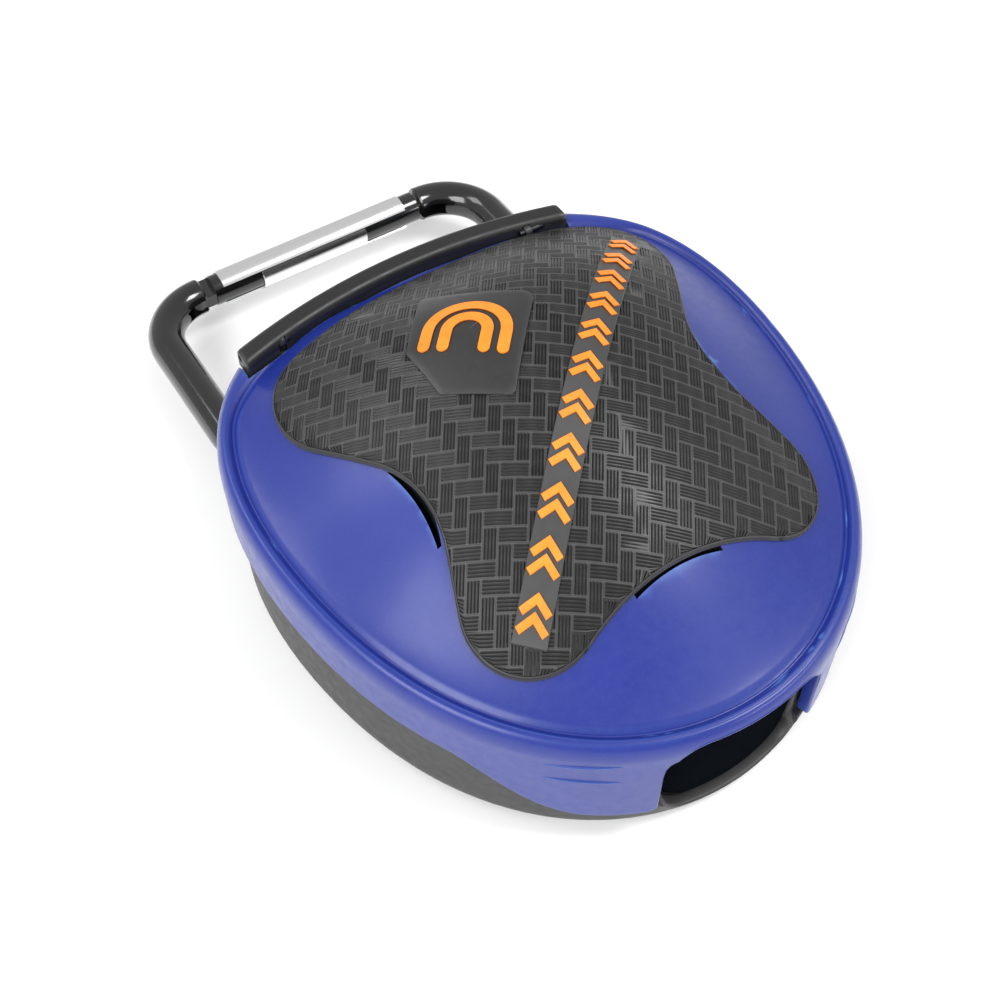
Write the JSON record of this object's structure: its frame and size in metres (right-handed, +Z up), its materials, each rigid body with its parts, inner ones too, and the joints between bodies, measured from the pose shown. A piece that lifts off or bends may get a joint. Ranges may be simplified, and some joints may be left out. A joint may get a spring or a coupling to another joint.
{
  "type": "mouthguard with case",
  "caption": "Clamshell mouthguard case with a domed hinged lid, thumb recess, snap hook on a rear lug and a horseshoe mouthguard inside.",
  "frame": {"origin": "on the resting face, under the middle of the case's plan outline", "axes": "+Z up from the resting face, +Y toward the hinge and the snap hook, +X to the right seen from the thumb recess"},
  "size_m": [0.0892, 0.1309, 0.0478],
  "materials": {
    "lid_plastic": "satin moulded, blue",
    "base_plastic": "fine matt texture, dark grey",
    "tray_plastic": "gloss, blue black",
    "trim_plastic": "satin black",
    "inlay_plastic": "raised carbon twill relief, dark grey",
    "badge_plastic": "smooth satin, dark grey",
    "mark_print": "pad printed orange",
    "hook_enamel": "gloss black enamel on aluminium",
    "gate_metal": "bright polished",
    "pin_steel": "plain steel wire",
    "guard_shell_rubber": "satin, blue",
    "guard_gel": "translucent gel"
  },
  "bodies": {
    "case": {"base_shell": "base_plastic", "inner_tray": "tray_plastic", "thumb_panel": "tray_plastic", "hook_lug": "base_plastic", "hinge_cover": "trim_plastic", "hinge_pin_left": "pin_steel", "hinge_pin_right": "pin_steel"},
    "lid": {"lid_shell": "lid_plastic", "lid_latch": "lid_plastic", "lid_inlay": "inlay_plastic", "badge_plate": "badge_plastic", "badge_emblem": "mark_print", "stripe_band": "badge_plastic", "stripe_marks": "mark_print"},
    "hook": {"hook_body": "hook_enamel", "gate_pin": "pin_steel", "gate_spring": "pin_steel"},
    "gate": {"gate_core": "hook_enamel", "gate_sleeve": "gate_metal", "gate_insert": "gate_metal"},
    "mouthguard": {"guard_shell": "guard_shell_rubber", "guard_liner": "guard_gel"}
  },
  "joints": [
    {"name": "lid_hinge", "type": "hinge", "parent": "case", "child": "lid", "pos_m": [0, 0.0321, 0.033], "axis": [-1, 0, 0], "range_deg": [0, 90]},
    {"name": "hook_swing", "type": "hinge", "parent": "case", "child": "hook", "pos_m": [0, 0.0312, 0.008], "axis": [1, 0, 0], "range_deg": [-75, 30]},
    {"name": "gate_open", "type": "hinge", "parent": "hook", "child": "gate", "pos_m": [-0.024, 0.073, 0.008], "axis": [0, 0, -1], "range_deg": [0, 25], "stiffness_Nm_per_rad": 0.05, "springref_deg": -17.19},
    {"name": "guard_lift", "type": "slide", "parent": "case", "child": "mouthguard", "axis": [0, 0, 1], "range_m": [0, 0.005]}
  ]
}
